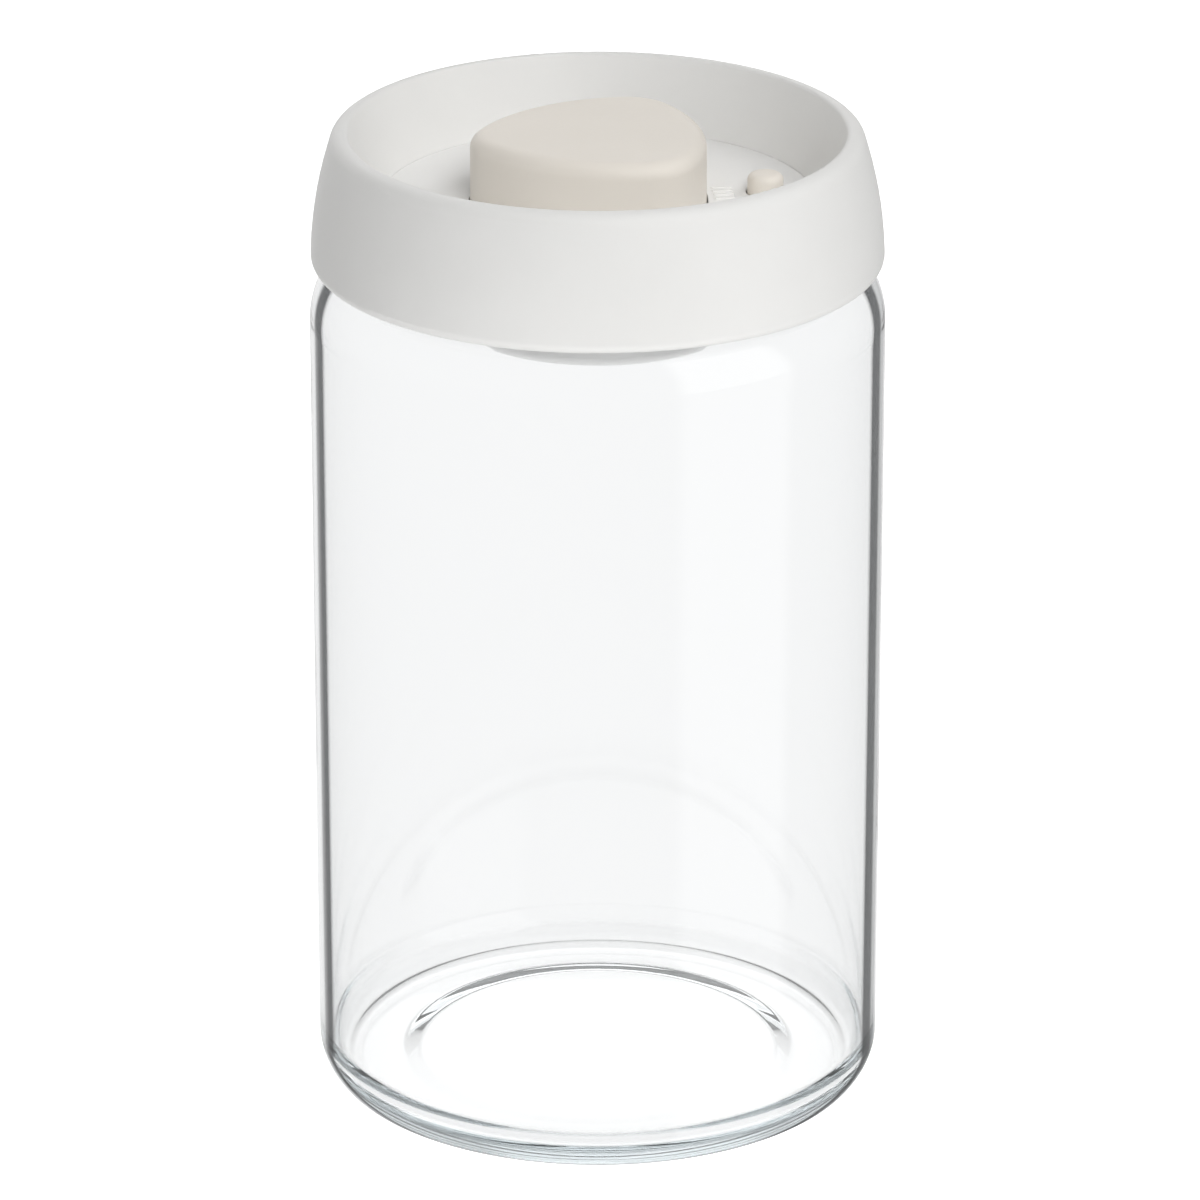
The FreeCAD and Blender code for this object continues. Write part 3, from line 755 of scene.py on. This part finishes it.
@dataclass
class GlassJar:
    """The jar, turned finer than the frame's so that it refracts without facets.

    Sizes are in millimetres and the heel's turn in degrees.
    """

    radius: float = 56.0
    height: float = 178.2
    wall: float = 2.4
    base: float = 3.8
    heel_round: float = 10.0
    heel_turn: float = 40.0
    foot_round: float = 3.0
    inner_heel: float = 7.0
    foot_width: float = 12.0
    punt_depth: float = 1.0
    punt_run: float = 4.0
    punt_round: float = 6.0
    shoulder_round: float = 16.0
    neck_inset: float = 5.8
    neck_fillet: float = 3.0
    neck_height: float = 6.5
    mouth_round: float = 0.96

    def profile(self) -> tuple[Corner, ...]:
        """Corners from the middle of the foot round to the middle of the floor.

        Returns:
            The profile's corners.
        """
        heel = math.radians(self.heel_turn)
        upper = self.heel_round * math.tan(heel / 2.0)
        lower = self.foot_round * math.tan(math.pi / 4.0 - heel / 2.0)
        heel_radius = self.radius - (upper + lower) * math.sin(heel)
        heel_height = (upper + lower) * math.cos(heel)
        foot_inner = heel_radius - lower - self.foot_width
        turn = math.acos(1.0 - self.neck_inset / (self.shoulder_round + self.neck_fillet))
        bend = math.tan(turn / 2.0)
        neck = self.radius - self.neck_inset
        shoulder_top = self.height - self.neck_height
        shoulder_low = shoulder_top - (self.shoulder_round + self.neck_fillet) * math.sin(turn)
        inner_shoulder = self.shoulder_round - self.wall
        inner_fillet = self.neck_fillet + self.wall
        return (
            Corner(0.0, self.punt_depth),
            Corner(foot_inner - self.punt_run, self.punt_depth, self.punt_round),
            Corner(foot_inner, 0.0, self.punt_round),
            Corner(heel_radius, 0.0, self.foot_round),
            Corner(self.radius, heel_height, self.heel_round),
            Corner(self.radius, shoulder_low + self.shoulder_round * bend, self.shoulder_round),
            Corner(neck, shoulder_top - self.neck_fillet * bend, self.neck_fillet),
            Corner(neck, self.height, self.mouth_round),
            Corner(neck - self.wall, self.height, self.mouth_round),
            Corner(neck - self.wall, shoulder_top - inner_fillet * bend, inner_fillet),
            Corner(self.radius - self.wall, shoulder_low + inner_shoulder * bend, inner_shoulder),
            Corner(self.radius - self.wall, self.base, self.inner_heel),
            Corner(0.0, self.base),
        )

    def build(self) -> bpy.types.Object:
        """Turn the glass and let it stand for the frame's jar.

        Returns:
            The jar.
        """
        jar = Lathe(self.profile()).turn("jar_glass")
        jar.visible_shadow = False
        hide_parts("glass_jar")
        return jar

    def dress(self, jar: bpy.types.Object) -> None:
        """Make it glass."""
        fit_piece(jar, Body.JAR, GLASS)


@dataclass
class ReliefBars:
    """Plain raised bars on the dish floor, between the two buttons, sizes in millimetres."""

    count: int = 4
    pitch: float = 2.2
    length: float = 4.0
    width: float = 0.9
    rise: float = 0.3
    sink: float = 0.2
    middle_x: float = 24.4
    end_share: float = 0.48
    end_segments: int = 8
    edge_round: float = 0.12
    edge_segments: int = 3
    level_gap: float = 0.01
    smooth_angle: float = 40.0

    def build(self) -> bpy.types.Object:
        """Shape one bar and copy it along the row.

        Returns:
            The row of bars as one mesh.
        """
        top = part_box("dish_floor_plate")[1].z + self.rise * MM
        tall = (self.rise + self.sink) * MM
        first = -self.pitch * (self.count - 1) / 2.0
        Bench.clear()
        bpy.ops.mesh.primitive_cube_add(
            size=1.0,
            location=(self.middle_x * MM, first * MM, top - tall / 2.0),
            scale=(self.length * MM, self.width * MM, tall),
        )
        bar = Bench.settle("relief_bars")
        Bench.edit()
        Bench.pick_edges(lambda edge: abs(edge.verts[0].co.z - edge.verts[1].co.z) > tall / 2.0)
        bpy.ops.mesh.bevel(
            offset=self.width * MM * self.end_share, segments=self.end_segments, affect="EDGES",
        )
        gap = self.level_gap * MM
        Bench.pick_edges(lambda edge: all(abs(vert.co.z - top) < gap for vert in edge.verts))
        bpy.ops.mesh.bevel(
            offset=self.edge_round * MM, segments=self.edge_segments, affect="EDGES",
        )
        bpy.ops.mesh.select_all(action="SELECT")
        step = (0.0, self.pitch * MM, 0.0)
        for _ in range(self.count - 1):
            bpy.ops.mesh.duplicate_move(TRANSFORM_OT_translate={"value": step})
        bpy.ops.object.mode_set(mode="OBJECT")
        bpy.ops.object.shade_smooth_by_angle(angle=math.radians(self.smooth_angle))
        return bar

    def dress(self, bars: bpy.types.Object) -> None:
        """Same plastic as the dish floor."""
        fit_piece(bars, Body.LID, DISH_WHITE)


@dataclass(frozen=True)
class CoilSpring:
    """A coil spring that stands on the lid, copied at rest; the real one shortens as its button is
    pressed.
    """

    name: str
    node: str
    joint: str

    def build(self) -> bpy.types.Object:
        """Copy the frame's spring, and close the seams of the copy.

        Returns:
            The spring at rest.
        """
        Bench.clear()
        spring = bpy.data.objects.new(self.name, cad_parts[self.node].data.copy())
        bpy.context.scene.collection.objects.link(spring)
        spring.select_set(True)
        bpy.context.view_layer.objects.active = spring
        Bench.edit()
        Bench.merge()
        Bench.settle(self.name)
        bpy.ops.object.shade_smooth()
        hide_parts(self.node)
        return spring

    def dress(self, spring: bpy.types.Object) -> None:
        """Make it steel, carry it on the lid and give it its own mesh.

        Args:
            spring: The spring.
        """
        fit_piece(spring, Body.LID, STEEL)
        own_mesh(spring)


@dataclass
class LidAssembly:
    """Collar, dish floor, plug and the pieces that are clamped with them."""

    shell: tuple[str, ...] = ("lid_collar",)
    dish: tuple[str, ...] = ("dish_floor_plate",)
    inner: tuple[str, ...] = ("lid_base", "pump_cylinder", "filter_cap")
    rubber: tuple[str, ...] = ("main_seal", "cylinder_gasket", "intake_valve")
    metal: tuple[str, ...] = ("lid_screws",)
    springs: tuple[CoilSpring, ...] = (
        CoilSpring("return_coil", "return_spring", "pump_press"),
        CoilSpring("release_coil", "release_spring", "release_press"),
    )
    filters: tuple[str, ...] = ("filter_mesh",)

    def dress(self) -> None:
        """Finish the lid's nodes."""
        dress(COLLAR_WHITE, *self.shell)
        dress(DISH_WHITE, *self.dish)
        dress(INNER_WHITE, *self.inner)
        dress(SILICONE, *self.rubber)
        dress(STEEL, *self.metal)
        dress(FILTER_STEEL, *self.filters)
        for spring in self.springs:
            spring.dress(spring.build())


@dataclass
class PumpAssembly:
    """The pump button and the piston that it drives."""

    button: tuple[str, ...] = ("pump_button",)
    inner: tuple[str, ...] = ("piston",)
    rubber: tuple[str, ...] = ("piston_seal", "exhaust_valve")
    metal: tuple[str, ...] = ("piston_screw",)

    def dress(self) -> None:
        """Finish the pump's nodes."""
        dress(BUTTON_BEIGE, *self.button)
        dress(INNER_WHITE, *self.inner)
        dress(SILICONE, *self.rubber)
        dress(STEEL, *self.metal)


@dataclass
class ReleaseValve:
    """The small button that lets the air back in."""

    button: tuple[str, ...] = ("release_button",)
    inner: tuple[str, ...] = ("release_stem",)
    rubber: tuple[str, ...] = ("release_seal",)
    metal: tuple[str, ...] = ("release_clip",)

    def dress(self) -> None:
        """Finish the valve's nodes."""
        dress(BUTTON_BEIGE, *self.button)
        dress(INNER_WHITE, *self.inner)
        dress(SILICONE, *self.rubber)
        dress(STEEL, *self.metal)


@dataclass
class CameraRig:
    """The camera at the photograph's view, with angles in degrees and lengths in metres."""

    azimuth: float = -6.5
    elevation: float = 21.648
    distance: float = 1.54495
    aim_height: float = 0.09839
    aim_right: float = 0.000451
    focal_pixels: float = 7828.43
    far_clip: float = 100.0

    def build(self) -> bpy.types.Object:
        """Place the camera and make it the scene's.

        Returns:
            The camera.
        """
        turn = math.radians(self.azimuth)
        lift = math.radians(self.elevation)
        level = math.cos(lift)
        right = Vector((math.cos(turn), math.sin(turn), 0.0))
        back = Vector((math.sin(turn) * level, -math.cos(turn) * level, math.sin(lift)))
        aim = Vector((0.0, 0.0, self.aim_height)) + right * self.aim_right
        rotation = back.to_track_quat("Z", "Y").to_euler()
        bpy.ops.object.camera_add(location=aim + back * self.distance, rotation=rotation)
        camera = bpy.context.active_object
        camera.data.sensor_width = SENSOR_WIDTH
        camera.data.lens = self.focal_pixels * SENSOR_WIDTH / PHOTO_PIXELS
        camera.data.clip_end = self.far_clip
        bpy.context.scene.camera = camera
        return camera


@dataclass(frozen=True)
class SoftBox:
    """A round area lamp aimed at the object, which gloss and glass don't show."""

    name: str
    place: Point
    size: float
    watts: float
    aim: Point = (0.0, 0.0, 0.12)

    def build(self) -> None:
        """Hang the lamp."""
        direction = Vector(self.place) - Vector(self.aim)
        rotation = direction.to_track_quat("Z", "Y").to_euler()
        bpy.ops.object.light_add(type="AREA", location=self.place, rotation=rotation)
        lamp = bpy.context.active_object
        lamp.name = self.name
        lamp.data.shape = "DISK"
        lamp.data.size = self.size
        lamp.data.energy = self.watts
        lamp.visible_glossy = False
        lamp.visible_transmission = False


@dataclass
class Studio:
    """Pale floor, soft light and a white surround.

    The panel has a heading and a half width, in degrees from the front, and soft sides.
    """

    floor_half: float = 4.0
    floor_drop: float = 0.0001
    floor_colour: Colour = (0.86, 0.86, 0.86)
    floor_glow: float = 0.76
    ambient: float = 0.30
    sheen_level: float = 0.34
    panel_level: float = 1.1
    panel: tuple[float, float] = (51.0, 20.0)
    panel_soft: float = 8.0
    backdrop: tuple[float, float] = (150.0, 164.0)
    bounces: int = 24
    lamps: tuple[SoftBox, ...] = (
        SoftBox("key_lamp", (0.223, -1.264, 1.235), 0.8, 13.6),
        SoftBox("side_lamp", (1.133, 0.099, 1.383), 0.8, 7.2),
        SoftBox("front_lamp", (-0.703, -1.507, 0.473), 1.2, 2.6),
        SoftBox("back_lamp", (-0.632, 1.354, 0.251), 1.2, 11.1),
        SoftBox("table_lamp", (0.0, -0.433, -1.211), 0.8, 10.5),
    )

    @staticmethod
    def seen_by(ray: Ray, sheet: NodeSheet) -> bpy.types.NodeSocket:
        """Whether a ray of a kind shows the surround, with no matt surface on its way.

        Args:
            ray: Kind of ray.
            sheet: Node tree that asks.

        Returns:
            Output socket that is 1 for such a ray.
        """
        path = sheet.add("LightPath")
        clear_way = sheet.math("LESS_THAN", path.outputs["Diffuse Depth"], NO_BOUNCE)
        return sheet.math("MULTIPLY", path.outputs[ray.value], clear_way)

    def build_floor(self) -> None:
        """Lay the floor, which keeps the shadow for the camera and is plain white through glass."""
        Bench.clear()
        bpy.ops.mesh.primitive_plane_add(
            size=2.0 * self.floor_half, location=(0.0, 0.0, -self.floor_drop),
        )
        floor = Bench.settle("studio_floor")
        made = bpy.data.materials.new("studio_floor")
        made.use_nodes = True
        sheet = NodeSheet(made.node_tree)
        paint = sheet.put(sheet.add("BsdfDiffuse"), Color=(*self.floor_colour, 1.0))
        lift = sheet.math("MULTIPLY", self.seen_by(Ray.CAMERA, sheet), self.floor_glow)
        glow = sheet.put(sheet.add("Emission"), Strength=lift)
        lit = sheet.add("AddShader")
        sheet.join(paint.outputs[0], lit.inputs[0])
        sheet.join(glow.outputs[0], lit.inputs[1])
        plain = sheet.put(sheet.add("Emission"), Strength=1.0)
        view = sheet.add("MixShader")
        sheet.join(self.seen_by(Ray.GLASS, sheet), view.inputs[0])
        sheet.join(lit.outputs[0], view.inputs[1])
        sheet.join(plain.outputs[0], view.inputs[2])
        sheet.join(view.outputs[0], sheet.add("OutputMaterial").inputs["Surface"])
        floor.data.materials.append(made)
        floor.visible_glossy = False
        floor.visible_shadow = False

    def build_world(self) -> None:
        """Surround the object with soft light, and show gloss a darker room, a panel and a backdrop."""
        world = bpy.data.worlds.new("studio")
        bpy.context.scene.world = world
        world.use_nodes = True
        sheet = NodeSheet(world.node_tree)
        split = sheet.add("SeparateXYZ")
        sheet.join(sheet.add("TexCoord").outputs["Generated"], split.inputs[0])
        forward = sheet.math("MULTIPLY", split.outputs["Y"], -1.0)
        heading = sheet.math("ARCTAN2", split.outputs["X"], forward)
        middle, half = self.panel
        away = sheet.math("ABSOLUTE", sheet.math("SUBTRACT", heading, math.radians(middle)))
        panel_edge = map(math.radians, (half, half + self.panel_soft))
        panel = sheet.spread(away, self.panel_level, self.sheen_level, *panel_edge, smooth=True)
        back_edge = map(math.radians, self.backdrop)
        backdrop = sheet.spread(sheet.math("ABSOLUTE", heading), 0.0, 1.0, *back_edge, smooth=True)
        gloss = sheet.math("MAXIMUM", panel, backdrop)
        glossy = self.seen_by(Ray.GLOSS, sheet)
        level = sheet.math("MULTIPLY", glossy, sheet.math("SUBTRACT", gloss, self.ambient))
        camera = self.seen_by(Ray.CAMERA, sheet)
        white = sheet.math("MAXIMUM", camera, self.seen_by(Ray.GLASS, sheet))
        level = sheet.math("ADD", level, sheet.math("MULTIPLY", white, 1.0 - self.ambient))
        light = sheet.put(sheet.add("Background"), Strength=sheet.math("ADD", level, self.ambient))
        sheet.put(light, Color=(1.0, 1.0, 1.0, 1.0))
        sheet.join(light.outputs[0], sheet.add("OutputWorld").inputs["Surface"])

    def build(self) -> None:
        """Set up the whole studio."""
        self.build_floor()
        self.build_world()
        for lamp in self.lamps:
            lamp.build()
        scene = bpy.context.scene
        for limit in ("max_bounces", "glossy_bounces", "transmission_bounces"):
            setattr(scene.cycles, limit, self.bounces)
        scene.view_settings.view_transform = "Standard"


def main() -> None:
    """Build the sub-assemblies, the camera and the studio in order."""
    logging.basicConfig(level=logging.INFO, format="%(name)s: %(message)s")
    jar = GlassJar()
    jar.dress(jar.build())
    LidAssembly().dress()
    PumpAssembly().dress()
    ReleaseValve().dress()
    bars = ReliefBars()
    bars.dress(bars.build())
    CameraRig().build()
    Studio().build()


if __name__ == "__main__":
    main()
